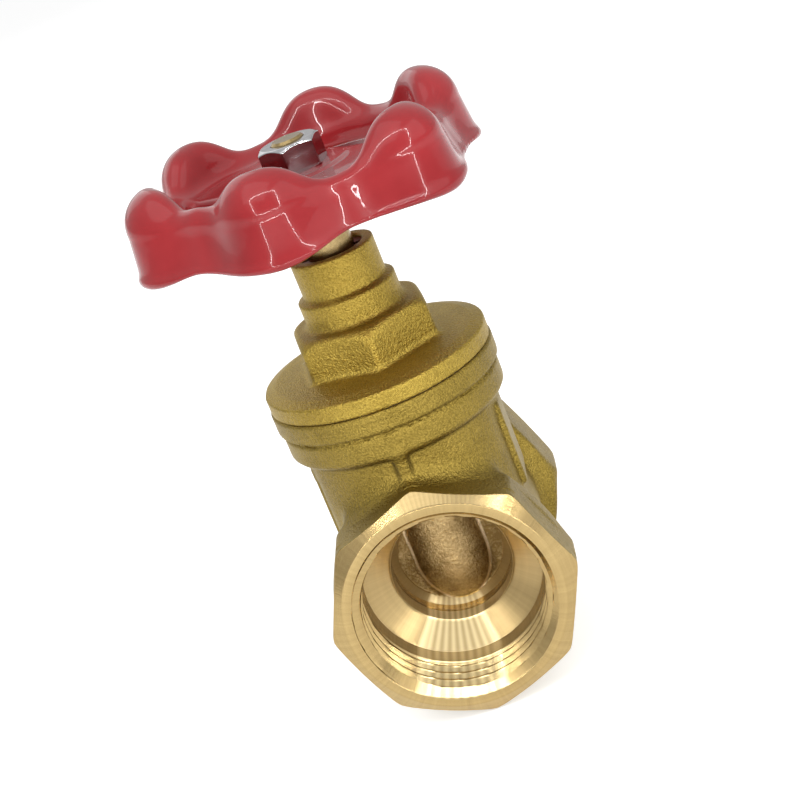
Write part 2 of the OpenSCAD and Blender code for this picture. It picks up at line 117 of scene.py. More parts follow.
# finishes, with lengths in metres as the Object coordinates give them
forgedTone = {"light": (0.43, 0.305, 0.062), "dark": (0.205, 0.138, 0.022), "rough": 0.44}
# the body's forged tone is darker than the bonnet's: painted shade on the lower body and its ends
shadedBodyTone = {"light": (0.325, 0.232, 0.05), "dark": (0.14, 0.096, 0.017), "rough": 0.44}
# the third turned colour is a painted glint, laid on by the fan bars
turnedTone = {"light": (0.50, 0.368, 0.165), "dark": (0.31, 0.210, 0.083), "paintedGlint": (1.0, 0.81, 0.44),
              "rough": 0.22}
redTone = {"light": (0.345, 0.022, 0.026), "dark": (0.25, 0.012, 0.015)}
# fan bars: painted glint on the foot of the bore, the crown of the chamfer and the gate's lip
paintedFanGlint = {"tilt": 0.26, "footOut": 0.0169, "crownOut": 0.0183, "from": 0.875, "full": 0.9, "sideFrom": 0.28,
           "sideFull": 0.42, "broad": 67, "narrow": 170, "crownShare": 0.35}
# creases: colour and places of the painted shade under the collar band and beside the rib; throatOut bounds the
# turned throat
creases = {"colour": (0.055, 0.034, 0.006), "neckFrom": 0.0182, "neckFull": 0.0176, "bandFoot": 0.0254,
           "bandTop": 0.0264, "ribSide": 0.00125, "ribFrom": 0.0199, "ribFull": 0.0206, "throatOut": 0.0109}
# swellLine: the line along the swell's edge is a painted highlight; dark and light are the cast tones
swellLine = {"half": 0.0063, "foot": 0.0089, "middle": 0.0005, "paintedEdgeHighlight": (0.80, 0.64, 0.42), "lipOut": 0.00907,
             "dark": (0.175, 0.109, 0.036), "light": (0.53, 0.385, 0.185)}
forgedBump = {"strength": 0.75, "depth": 0.00022}


def brassNodes(tree, place, tone):
    grain = noise(tree, place, 3600, 1, 0.5)
    patches = noise(tree, place, 110, 3, 0.6)
    specks = noise(tree, place, 1700, 1, 0.5)
    share = calc(tree, "ADD", remap(tree, grain, 0.3, 0.7, -0.35, 0.35),
                 remap(tree, patches, 0.3, 0.7, 0.4, 0.75))
    colour = mixColour(tree, share, tone["dark"], tone["light"])
    height = calc(tree, "ADD", grain, calc(tree, "MULTIPLY", specks, 0.8))
    return colour, height


def paintedFanNodes(tree, x, up, out):
    # painted glint bars at the foot of the bore and over the crown of the chamfer
    spread = calc(tree, "SUBTRACT", calc(tree, "ARCTAN2", x, up), paintedFanGlint["tilt"])
    over, side = calc(tree, "COSINE", spread), calc(tree, "SINE", spread)
    foot = calc(tree, "MULTIPLY", remap(tree, over, -paintedFanGlint["from"], -paintedFanGlint["full"], 0, 1),
                calc(tree, "LESS_THAN", out, paintedFanGlint["footOut"]))
    crown = calc(tree, "MULTIPLY", remap(tree, over, paintedFanGlint["from"], paintedFanGlint["full"], 0, 1),
                 calc(tree, "GREATER_THAN", out, paintedFanGlint["crownOut"]))
    edge = remap(tree, calc(tree, "ABSOLUTE", side), paintedFanGlint["sideFrom"], paintedFanGlint["sideFull"], 0, 1)
    broad = remap(tree, calc(tree, "SINE", calc(tree, "MULTIPLY", side, paintedFanGlint["broad"])), -1, 1, 0.35, 1)
    narrow = remap(tree, calc(tree, "SINE", calc(tree, "MULTIPLY", side, paintedFanGlint["narrow"])), -1, 1, 0.45, 1)
    atFoot = calc(tree, "MULTIPLY", foot, calc(tree, "MAXIMUM", broad, edge))
    onCrown = calc(tree, "MULTIPLY", calc(tree, "MAXIMUM", narrow, edge), paintedFanGlint["crownShare"])
    return calc(tree, "ADD", atFoot, calc(tree, "MULTIPLY", crown, onCrown))


def turnedNodes(tree, place):
    # streaks that fan out from the pipe axis, with faint rings across them, and painted glint bars laid over them
    axes = addNode(tree, "ShaderNodeSeparateXYZ")
    tree.links.new(place, axes.inputs[0])
    upDown = calc(tree, "SUBTRACT", axes.outputs[2], pipeZ * mm)
    angle = calc(tree, "ARCTAN2", axes.outputs[0], upDown)
    around = addNode(tree, "ShaderNodeCombineXYZ")
    tree.links.new(calc(tree, "SINE", angle), around.inputs[0])
    tree.links.new(calc(tree, "COSINE", angle), around.inputs[1])
    streaks = noise(tree, around.outputs[0], 26, 4, 0.7)
    out = reach(tree, axes.outputs[0], upDown)
    rings = addNode(tree, "ShaderNodeCombineXYZ")
    tree.links.new(calc(tree, "ADD", out, calc(tree, "MULTIPLY", axes.outputs[1], 0.7)), rings.inputs[0])
    ringNoise = noise(tree, rings.outputs[0], 1500, 1, 0.5)
    share = calc(tree, "ADD", remap(tree, streaks, 0.3, 0.7, 0.4, 0.8),
                 remap(tree, ringNoise, 0.3, 0.7, -0.12, 0.12))
    colour = mixColour(tree, share, turnedTone["dark"], turnedTone["light"])
    # painted glint: the fan bars lighten the turned colour toward the glint colour
    bars = calc(tree, "MULTIPLY", paintedFanNodes(tree, axes.outputs[0], upDown, out),
                remap(tree, out, 0.0148, 0.0154, 0.9, 0.5))
    colour = mixColour(tree, bars, colour, turnedTone["paintedGlint"])
    lines = noise(tree, around.outputs[0], 60, 2, 0.6)
    height = calc(tree, "ADD", calc(tree, "MULTIPLY", ringNoise, 0.1), calc(tree, "MULTIPLY", lines, 0.8))
    return colour, height, out, axes


def forgedBrass(name, tone):
    # raw all over, turned only where the throat runs close round the pipe axis, with painted shade in the creases
    # under the collar band and beside the rib
    material, tree, shader, place = newMaterial(name, Metallic=1.0)
    colour, height = brassNodes(tree, place, tone)
    cutColour, _, out, axes = turnedNodes(tree, place)
    cut = calc(tree, "LESS_THAN", out, creases["throatOut"])
    x, y, up = axes.outputs[0], axes.outputs[1], calc(tree, "SUBTRACT", axes.outputs[2], pipeZ * mm)
    # painted shade: dark lines in the creases under the collar band and beside the parting rib
    onNeck = remap(tree, reach(tree, x, y), creases["neckFrom"], creases["neckFull"], 0, 1)
    underBand = remap(tree, awayFrom(tree, up, creases["bandFoot"]), 0.0003, 0.0009, 0.75, 0)
    besideRib = awayFrom(tree, calc(tree, "ABSOLUTE", x), creases["ribSide"])
    besideRib = calc(tree, "MULTIPLY", remap(tree, besideRib, 0.0001, 0.0005, 0.7, 0),
                     remap(tree, up, creases["ribFrom"], creases["ribFull"], 0, 1))
    paintedCreaseShade = calc(tree, "MULTIPLY", onNeck, calc(tree, "MAXIMUM", underBand, besideRib))
    paintedCreaseShade = calc(tree, "MULTIPLY", paintedCreaseShade, calc(tree, "LESS_THAN", up, creases["bandTop"]))
    colour = mixColour(tree, paintedCreaseShade, colour, creases["colour"])
    tree.links.new(mixColour(tree, cut, colour, cutColour), shader.inputs["Base Color"])
    tree.links.new(remap(tree, cut, 0, 1, tone["rough"], turnedTone["rough"]), shader.inputs["Roughness"])
    level = calc(tree, "MULTIPLY", height, remap(tree, cut, 0, 1, 1, 0.03))
    tree.links.new(bumpFrom(tree, level, forgedBump["strength"], forgedBump["depth"]), shader.inputs["Normal"])
    return material


def turnedBrass(name):
    material, tree, shader, place = newMaterial(name, Metallic=0.7, Roughness=turnedTone["rough"])
    colour, height = turnedNodes(tree, place)[:2]
    tree.links.new(colour, shader.inputs["Base Color"])
    tree.links.new(bumpFrom(tree, height, 0.12, 0.00005), shader.inputs["Normal"])
    return material


def plainCoat(name, light, dark, rough, metal, scale, bump):
    material, tree, shader, place = newMaterial(name, Metallic=metal, Roughness=rough)
    pattern = noise(tree, place, scale, 4, 0.6)
    tree.links.new(mixColour(tree, remap(tree, pattern, 0.3, 0.7, 0, 1), dark, light), shader.inputs["Base Color"])
    tree.links.new(bumpFrom(tree, pattern, 0.3, bump), shader.inputs["Normal"])
    return material


def redCoat(name):
    material, tree, shader, place = newMaterial(name, Roughness=0.22)
    shader.inputs["Specular IOR Level"].default_value = 0.15
    shader.inputs["Coat Weight"].default_value = 0.6
    shader.inputs["Coat IOR"].default_value = 1.4
    shader.inputs["Coat Roughness"].default_value = 0.025
    wide = noise(tree, place, 90, 3, 0.5)
    fine = noise(tree, place, 420, 2, 0.5)
    tree.links.new(mixColour(tree, remap(tree, wide, 0.3, 0.7, 0, 1), redTone["dark"], redTone["light"]),
                   shader.inputs["Base Color"])
    peel = bumpFrom(tree, calc(tree, "ADD", wide, calc(tree, "MULTIPLY", fine, 0.15)), 0.12, 0.0006)
    tree.links.new(peel, shader.inputs["Normal"])
    tree.links.new(peel, shader.inputs["Coat Normal"])
    return material


def gateBronze(name):
    material, tree, shader, place = newMaterial(name, Metallic=1.0)
    axes = addNode(tree, "ShaderNodeSeparateXYZ")
    tree.links.new(place, axes.inputs[0])
    x, z = axes.outputs[0], calc(tree, "SUBTRACT", axes.outputs[2], pipeZ * mm)
    # a painted highlight line follows the swell's edge, straight above and rounded at the foot
    down = calc(tree, "MINIMUM", calc(tree, "ADD", z, swellLine["middle"]), 0)
    down = calc(tree, "DIVIDE", down, swellLine["foot"])
    foot = calc(tree, "MAXIMUM", calc(tree, "SUBTRACT", 1, calc(tree, "MULTIPLY", down, down)), 0)
    foot = calc(tree, "SQRT", foot)
    past = calc(tree, "SUBTRACT", calc(tree, "ABSOLUTE", x), calc(tree, "MULTIPLY", foot, swellLine["half"]))
    near = calc(tree, "MULTIPLY", calc(tree, "ABSOLUTE", past), remap(tree, foot, 0.3, 1, 0.5, 1))
    line = remap(tree, near, 0.0001, 0.00035, 0.85, 0)
    grain = noise(tree, place, 2100, 3, 0.65)
    patches = noise(tree, place, 240, 3, 0.6)
    mix = calc(tree, "ADD", remap(tree, grain, 0.3, 0.7, -0.3, 0.35), remap(tree, patches, 0.3, 0.7, 0.2, 0.75))
    # painted highlight down the swell's middle and painted shade toward its sides; past the swell's edge the disc
    # gets painted shade
    paintedCrestHighlight = remap(tree, calc(tree, "ABSOLUTE", x), 0.0004, 0.0042, 0.22, -0.12)
    mix = calc(tree, "ADD", calc(tree, "ADD", mix, paintedCrestHighlight), remap(tree, past, -0.0002, 0.0004, 0, -0.3))
    cast = mixColour(tree, mix, swellLine["dark"], swellLine["light"])
    paintedEdgeHighlight = mixColour(tree, line, cast, swellLine["paintedEdgeHighlight"])
    out = reach(tree, x, z)
    ring = calc(tree, "GREATER_THAN", out, swellLine["lipOut"])
    # painted glint bars on the gate's turned lip
    bars = calc(tree, "MULTIPLY", paintedFanNodes(tree, x, z, out), 0.9)
    lip = mixColour(tree, bars, turnedTone["light"], turnedTone["paintedGlint"])
    tree.links.new(mixColour(tree, ring, paintedEdgeHighlight, lip), shader.inputs["Base Color"])
    tree.links.new(remap(tree, ring, 0, 1, 0.40, 0.2), shader.inputs["Roughness"])
    level = calc(tree, "MULTIPLY", grain, remap(tree, ring, 0, 1, 1, 0.05))
    tree.links.new(bumpFrom(tree, level, 0.7, 0.00028), shader.inputs["Normal"])
    return material


finish = {
    "forged": forgedBrass("forgedBrass", forgedTone),
    "body": forgedBrass("shadedBodyBrass", shadedBodyTone),
    "turned": turnedBrass("turnedBrass"),
    "red": redCoat("redDipCoat"),
    "chrome": plainCoat("brightChrome", (0.50, 0.50, 0.51), (0.36, 0.36, 0.37), 0.09, 1.0, 700, 0.00001),
    # stem colour darkened below the turned brass: painted shade under the wheel
    "stem": plainCoat("shadedStemBrass", (0.37, 0.27, 0.125), (0.25, 0.18, 0.08), 0.25, 1.0, 2600, 0.00002),
    "gland": plainCoat("glandBrown", (0.24, 0.11, 0.06), (0.10, 0.05, 0.03), 0.4, 0.5, 900, 0.00004),
    "gate": gateBronze("castBronze"),
    "gasket": plainCoat("gasketFibre", (0.07, 0.05, 0.03), (0.03, 0.022, 0.014), 0.8, 0.0, 1500, 0.00008),
    "ptfe": plainCoat("whitePtfe", (0.82, 0.82, 0.80), (0.72, 0.72, 0.70), 0.45, 0.0, 900, 0.00002),
    "packing": plainCoat("packingRing", (0.10, 0.10, 0.10), (0.055, 0.055, 0.055), 0.6, 0.0, 1200, 0.00006),
}
print("finishes made")


# surfaces from distance fields, all sizes in mm about the pipe axis
def softMin(a, b, k):
    near = np.maximum(k - np.abs(a - b), 0) / k
    return np.minimum(a, b) - near * near * k / 4


def softMax(a, b, k):
    return -softMin(-a, -b, k)


def outlineField(points, u, v):
    nearest = np.full(np.shape(u), 1e9)
    side = np.ones(np.shape(u))
    for (ax, ay), (bx, by) in zip(points, points[1:] + points[:1]):
        ex, ey = bx - ax, by - ay
        wx, wy = u - ax, v - ay
        along = np.clip((wx * ex + wy * ey) / (ex * ex + ey * ey), 0, 1)
        nearest = np.minimum(nearest, (wx - ex * along) ** 2 + (wy - ey * along) ** 2)
        over, under, left = v >= ay, v < by, ex * wy > ey * wx
        side = np.where((over & under & left) | ~(over | under | left), -side, side)
    return side * np.sqrt(nearest)


def boxField(x, y, z, half, edge):
    q = [np.abs(a) - (h - edge) for a, h in zip((x, y, z), half)]
    outside = np.sqrt(sum(np.maximum(a, 0) ** 2 for a in q))
    return outside + np.minimum(np.maximum(np.maximum(q[0], q[1]), q[2]), 0) - edge


def prismField(u, v, flat, sides, turn, edge):
    walls = None
    for i in range(sides):
        angle = turn + 2 * math.pi * i / sides
        wall = u * math.cos(angle) + v * math.sin(angle) - flat
        walls = wall if walls is None else softMax(walls, wall, edge)
    return walls


def skinMesh(field, low, high, step, relax=2):
    counts = [int(math.ceil((b - a) / step)) + 1 for a, b in zip(low, high)]
    grid = np.meshgrid(*[a + step * np.arange(n) for a, n in zip(low, counts)], indexing="ij")
    depth = field(*grid)
    inside = depth < 0
    cells = tuple(n - 1 for n in counts)

    def corner(shift):
        return depth[tuple(slice(s, s + c) for s, c in zip(shift, cells))]

    total, hits = np.zeros(cells + (3,)), np.zeros(cells)
    for axis in range(3):
        for p, q in ((0, 0), (0, 1), (1, 0), (1, 1)):
            shift = [p, q]
            shift.insert(axis, 0)
            far = list(shift)
            far[axis] = 1
            a, b = corner(shift), corner(far)
            cross = (a < 0) != (b < 0)
            part = np.where(cross, a / np.where(cross, a - b, 1), 0)
            hits += cross
            for k in range(3):
                total[..., k] += cross * (shift[k] + (part if k == axis else 0))
    mixed = hits > 0
    index = np.full(cells, -1)
    index[mixed] = np.arange(int(mixed.sum()))
    points = np.array(low) + step * (np.argwhere(mixed) + total[mixed] / hits[mixed][:, None])
    faces = []
    for axis in range(3):
        b, c = (axis + 1) % 3, (axis + 2) % 3
        first = [slice(None)] * 3
        second = [slice(None)] * 3
        first[axis], second[axis] = slice(0, -1), slice(1, None)
        near, away = inside[tuple(first)], inside[tuple(second)]
        edges = np.argwhere(near != away)
        keep = (edges[:, b] > 0) & (edges[:, c] > 0)
        keep &= (edges[:, b] < counts[b] - 1) & (edges[:, c] < counts[c] - 1)
        edges = edges[keep]
        ring = []
        for back, down in ((1, 1), (0, 1), (0, 0), (1, 0)):
            at = edges.copy()
            at[:, b] -= back
            at[:, c] -= down
            ring.append(index[tuple(at.T)])
        quad = np.stack(ring, 1)
        outward = near[tuple(edges.T)]
        faces.append(np.where(outward[:, None], quad, quad[:, ::-1]))
    faces = np.concatenate(faces)
    points = ontoField(field, points, step, 3)
    sides = np.concatenate([faces[:, [i, (i + 1) % 4]] for i in range(4)])
    for turn in range(relax):
        sums = np.zeros_like(points)
        for k in range(3):
            sums[:, k] = np.bincount(sides[:, 0], points[sides[:, 1], k], len(points))
        share = np.maximum(np.bincount(sides[:, 0], minlength=len(points)), 1)
        points = ontoField(field, points + 0.5 * (sums / share[:, None] - points), step, 2)
    return points, faces


def ontoField(field, points, step, times):
    h = 0.02  # reach of the slope estimate
    for turn in range(times):
        x, y, z = points.T
        depth = field(x, y, z)
        slope = np.stack([field(x + h, y, z) - field(x - h, y, z),
                          field(x, y + h, z) - field(x, y - h, z),
                          field(x, y, z + h) - field(x, y, z - h)], 1) / (2 * h)
        steep = np.maximum((slope ** 2).sum(1), 0.05)
        move = -(depth / steep)[:, None] * slope
        size = np.maximum(np.sqrt((move ** 2).sum(1)), 1e-9)
        points = points + move * np.minimum(1, step / size)[:, None]
    return points


def ringFaces(rowCount, columns):
    # quads of a closed tube whose last row meets its first
    i, j = np.meshgrid(np.arange(rowCount), np.arange(columns), indexing="ij")
    k, n = (i + 1) % rowCount, (j + 1) % columns
    return np.stack([i * columns + j, i * columns + n, k * columns + n, k * columns + j], -1).reshape(-1, 4)


def makeObject(name, points, faces, material, sharp=None):
    mesh = bpy.data.meshes.new(name)
    placed = (np.asarray(points) + (0, 0, pipeZ)) * mm
    mesh.from_pydata(placed.tolist(), [], np.asarray(faces).tolist())
    mesh.validate()
    mesh.shade_smooth()
    if sharp:
        mesh.set_sharp_from_angle(angle=math.radians(sharp))
    mesh.materials.append(material)
    piece = bpy.data.objects.new(name, mesh)
    scene.collection.objects.link(piece)
    return piece


# forged body: chamber, collar, parting rib and pads, with the ends' inner halves
body = {"chamberX": 16.1, "chamberY": 11.44, "neckR": 17.4, "top": 27.0, "ribHalf": 1.0, "ribOut": 18.5,
        "ribMid": 13.5, "ribTall": 13, "flat": 19.47, "hubStart": 13.0, "hubEnd": 20.6, "trim": 19.9,
        "padX": 0.22, "padZ": 15.9, "padHalf": (16.62, 5.5, 7.5), "gateRoom": 13.0, "roomMid": 13.9,
        "cavityY": 6.94, "seatR": 12.3, "seatY": 5.45, "seatBack": 8, "seatLean": 0.0524, "guideX": 13.4,
        "guideMid": 8, "guideHalf": (2.6, 1.5, 18), "guideOut": 15.5, "mouthR": 16.55, "mouthFloor": 27.6,
        "step": 0.47}
collarOutline = [(0, 21.5), (16.6, 21.5), (16.8, 25.6), (18.3, 25.9), (18.7, 26.4), (18.7, 29.6), (18.0, 30.1),
                 (18.0, 30.6), (19.25, 31.0), (19.25, 33.85), (0, 33.85)]
waistOutline = [(0, 0), (16.4, 0), (16.4, 10.9), (19.3, 13.2), (19.3, 16), (0, 16)]
boreOutline = [(-40, -1), (10.5, -1), (10.5, 8.2), (15.7, 10.85), (15.7, 13.4), (17.5, 14.4), (17.5, 40),
               (-40, 40)]


def bodyField(x, y, z):
    ay, ax = np.abs(y), np.abs(x)
    out = np.sqrt(x * x + z * z)
    spin = np.sqrt(x * x + y * y)
    neck = softMax(spin - body["neckR"], ax - body["chamberX"], 1.6)
    upper = softMax(softMax(neck, -z - 2, 1), z - body["top"], 1)
    lower = softMax(out - body["chamberX"] - 0.3, ay - body["chamberY"], 2.5)
    lower = softMin(lower, outlineField(waistOutline, out, ay), 1.2)
    collar = outlineField(collarOutline, spin, z) - 0.35 - 0.12 * np.exp(-(x / 0.5) ** 2)
    rib = boxField(x, y, z - body["ribMid"], (body["ribHalf"], body["ribOut"], body["ribTall"]), 0.3)
    trim = softMin(rib, collar, 1.5)
    octagon = prismField(x, z, body["flat"], 8, math.pi / 8, 0.5)
    hub = softMax(softMax(octagon, body["hubStart"] - ay, 0.8), ay - body["hubEnd"], 0.2)
    hub = softMax(hub, (out - body["trim"] - 1.1 * (ay - body["hubStart"])) * 0.67, 1.0)
    shell = softMin(softMin(upper, hub, 3.6), lower, 1.4)
    shell = softMin(shell, trim, 0.4)
    pad = boxField(x - body["padX"], y, z - body["padZ"], body["padHalf"], 0.25)
    shell = softMin(shell, pad, 0.5)
    room = np.minimum(softMax(out - body["gateRoom"], -13 - z, 1),
                      boxField(x, y, z - body["roomMid"], (body["gateRoom"], 30, body["roomMid"]), 0.4))
    room = softMax(room, ay - body["cavityY"], 0.6)
    room = np.minimum(room, np.maximum(spin - body["mouthR"], body["mouthFloor"] - z))
    shell = softMax(shell, -room, 0.3)
    seat = np.maximum(out - body["seatR"], body["seatY"] + body["seatLean"] * z - ay)
    seat = np.maximum(seat, ay - body["seatBack"])
    shell = np.minimum(shell, seat)
    guide = boxField(ax - body["guideX"], y, z - body["guideMid"], body["guideHalf"], 0.3)
    shell = np.minimum(shell, np.maximum(guide, out - body["guideOut"] - 30 * (z > 0)))
    return softMax(shell, -outlineField(boreOutline, out, ay), 0.15)


points, faces = skinMesh(bodyField, (-21.6, -21.2, -21.6), (21.6, 21.2, 34.6), body["step"])
forgedBody = makeObject("forgedBody", points, faces, finish["body"])
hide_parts("valve_body")
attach(forgedBody, "body")
print("forged body", len(faces) * 2, "triangles")

# the two threaded ends: octagon, chamfer, face and the turned port with its helical thread
port = {"faceY": 24.0, "flat": 19.5, "corner": 20.95, "endFaceR": 18.225, "chamfer": math.tan(math.radians(32)),
        "mouthR": 16.825, "minorR": 15.145, "majorR": 16.625, "pitch": 2.309, "crestFlat": 0.36, "rootFlat": 0.3,
        "threadEnd": 14.64, "runOut": 1.1, "leadIn": 1.6, "plainEnd": 11.24, "throatY": 8.64, "throatR": 10.3,
        "shellEnd": 5.75, "backY": 15.0, "rowStep": 0.105, "columns": 288, "turnedOut": 17.1, "deepOut": 16.6,
        "plainMid": 12.9, "plainOut": 15.12, "throatOut": 10.4}
portBack = [(10.8, 5.75), (10.8, 8.45), (15.45, 11.0), (15.45, 13.6), (17.2, 14.6), (17.2, 15.0)]


def threadTree():
    tree = bpy.data.node_groups.new("pipeThread", "GeometryNodeTree")
    face = tree.interface
    face.new_socket("Geometry", in_out="INPUT", socket_type="NodeSocketGeometry")
    for label in ("Pitch", "Minor Radius", "Major Radius", "Root Flat", "Crest Flat", "Run Out Start", "Run Out",
                  "Mouth Radius", "Face Distance", "Lead In Slope"):
        face.new_socket(label, in_out="INPUT", socket_type="NodeSocketFloat")
    face.new_socket("Material", in_out="INPUT", socket_type="NodeSocketMaterial")
    face.new_socket("Geometry", in_out="OUTPUT", socket_type="NodeSocketGeometry")
    start, end = addNode(tree, "NodeGroupInput"), addNode(tree, "NodeGroupOutput")
    given = start.outputs
    spot = addNode(tree, "ShaderNodeSeparateXYZ")
    tree.links.new(addNode(tree, "GeometryNodeInputPosition").outputs[0], spot.inputs[0])
    x, y, z = spot.outputs
    out = reach(tree, x, z)
    turn = calc(tree, "DIVIDE", calc(tree, "ARCTAN2", x, z), 2 * math.pi)
    away = calc(tree, "ABSOLUTE", y)
    wave = calc(tree, "SUBTRACT", calc(tree, "DIVIDE", y, given["Pitch"]), turn)
    wave = calc(tree, "PINGPONG", wave, 0.5)
    fromRoot = calc(tree, "MULTIPLY", wave, given["Pitch"])
    rootHalf = calc(tree, "MULTIPLY", given["Root Flat"], 0.5)
    crestAt = calc(tree, "SUBTRACT", calc(tree, "MULTIPLY", given["Pitch"], 0.5),
                   calc(tree, "MULTIPLY", given["Crest Flat"], 0.5))
    ridge = remap(tree, fromRoot, rootHalf, crestAt, given["Major Radius"], given["Minor Radius"])
    ranOut = calc(tree, "ADD", given["Run Out Start"], given["Run Out"])
    ran = remap(tree, away, given["Run Out Start"], ranOut, 0, 1)
    ridge = calc(tree, "ADD", given["Minor Radius"],
                 calc(tree, "MULTIPLY", calc(tree, "SUBTRACT", ridge, given["Minor Radius"]), ran))
    cone = calc(tree, "SUBTRACT", given["Mouth Radius"],
                calc(tree, "MULTIPLY", calc(tree, "SUBTRACT", given["Face Distance"], away), given["Lead In Slope"]))
    grow = calc(tree, "DIVIDE", calc(tree, "MAXIMUM", ridge, cone), out)
    join = addNode(tree, "ShaderNodeCombineXYZ")
    grown = (calc(tree, "MULTIPLY", x, grow), y, calc(tree, "MULTIPLY", z, grow))
    for socket, value in zip(join.inputs, grown):
        tree.links.new(value, socket)
    cut = addNode(tree, "GeometryNodeInputNamedAttribute", data_type="FLOAT")
    cut.inputs["Name"].default_value = "threaded"
    shape = addNode(tree, "GeometryNodeSetPosition")
    tree.links.new(given["Geometry"], shape.inputs["Geometry"])
    tree.links.new(calc(tree, "GREATER_THAN", cut.outputs[0], 0.5), shape.inputs["Selection"])
    tree.links.new(join.outputs[0], shape.inputs["Position"])
    real = addNode(tree, "GeometryNodeRealizeInstances")
    tree.links.new(shape.outputs[0], real.inputs[0])
    paint = addNode(tree, "GeometryNodeSetMaterial")
    tree.links.new(real.outputs[0], paint.inputs["Geometry"])
    tree.links.new(given["Material"], paint.inputs["Material"])
    tree.links.new(paint.outputs[0], end.inputs[0])
    return tree


def throughNodes(name, mesh, tree, values):
    source = bpy.data.objects.new(name + ".source", mesh)
    scene.collection.objects.link(source)
    modifier = source.modifiers.new("shape", "NODES")
    modifier.node_group = tree
    for item in tree.interface.items_tree:
        if item.in_out == "INPUT" and item.name in values:
            modifier[item.identifier] = values[item.name]
    seen = source.evaluated_get(bpy.context.evaluated_depsgraph_get())
    made = bpy.data.meshes.new_from_object(seen)
    made.name = name
    bpy.data.objects.remove(source)
    return made


def octagonRadius(angle):
    nearest = np.mod(angle, math.pi / 4) - math.pi / 8
    return softMin(port["flat"] / np.cos(nearest), np.full_like(angle, port["corner"]), 0.5)


def endRows():
    columns = port["columns"]
    angle = 2 * math.pi * np.arange(columns) / columns
    octagon = octagonRadius(angle)
    edgeY = port["faceY"] - (octagon - port["endFaceR"]) * port["chamfer"]
    ones = np.ones(columns)
    rows = []

    def row(radius, away, threaded=0):
        rows.append((radius * ones, away * ones, threaded))

    for part in (0, 0.25, 0.5, 0.75, 0.93, 0.985):
        row(octagon, port["backY"] + (edgeY - port["backY"]) * part)
    for part in (0.03, 0.12, 0.35, 0.65, 0.88, 0.97):
        row(octagon + (port["endFaceR"] - octagon) * part, edgeY + (port["faceY"] - edgeY) * part)
    for radius in (port["endFaceR"] - 0.06, port["endFaceR"] - 0.3, 17.5, port["mouthR"] + 0.25,
                   port["mouthR"] + 0.05):
        row(radius, port["faceY"])
    away = port["faceY"] - 0.05
    while away > port["threadEnd"] - 0.05:
        row(port["minorR"], away, 1)
        away -= port["rowStep"]
    for away in (port["threadEnd"] - 0.3, 13.2, 11.7, port["plainEnd"] + 0.15, port["plainEnd"] + 0.02):
        row(port["minorR"], away)
    lip = np.array([port["minorR"], port["plainEnd"]])
    floor = np.array([port["throatR"], port["throatY"]])
    for part in (0.03, 0.1, 0.4, 0.7, 0.9, 0.97):
        row(*(lip + (floor - lip) * part))
    for away in (port["throatY"] - 0.08, port["throatY"] - 0.3, 7.2, port["shellEnd"] + 0.1, port["shellEnd"]):
        row(port["throatR"], away)
    for radius, away in portBack:
        row(radius, away)
    return angle, rows


pipeThread = threadTree()
threadValues = {"Pitch": port["pitch"] * mm, "Minor Radius": port["minorR"] * mm,
                "Major Radius": port["majorR"] * mm, "Root Flat": port["rootFlat"] * mm,
                "Crest Flat": port["crestFlat"] * mm, "Run Out Start": port["threadEnd"] * mm,
                "Run Out": port["runOut"] * mm, "Mouth Radius": port["mouthR"] * mm,
                "Face Distance": port["faceY"] * mm,
                "Lead In Slope": (port["mouthR"] - port["minorR"]) / port["leadIn"]}


def portEnd(name, sign, material):
    angle, rows = endRows()
    columns = port["columns"]
    points = [np.stack([r * np.sin(angle), sign * a, r * np.cos(angle)], 1) for r, a, t in rows]
    marks = np.concatenate([np.full(columns, float(t)) for r, a, t in rows])
    faces = ringFaces(len(rows), columns)
    if sign > 0:
        faces = faces[:, ::-1]
    mesh = bpy.data.meshes.new(name)
    mesh.from_pydata((np.concatenate(points) * mm).tolist(), [], faces.tolist())
    mesh.attributes.new("threaded", "FLOAT", "POINT").data.foreach_set("value", marks)
    made = throughNodes(name, mesh, pipeThread, {**threadValues, "Material": material})
    made.transform(Matrix.Translation((0, 0, pipeZ * mm)))
    made.shade_smooth()
    made.set_sharp_from_angle(angle=math.radians(24))
    piece = bpy.data.objects.new(name, made)
    scene.collection.objects.link(piece)
    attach(piece, "body")
    return piece


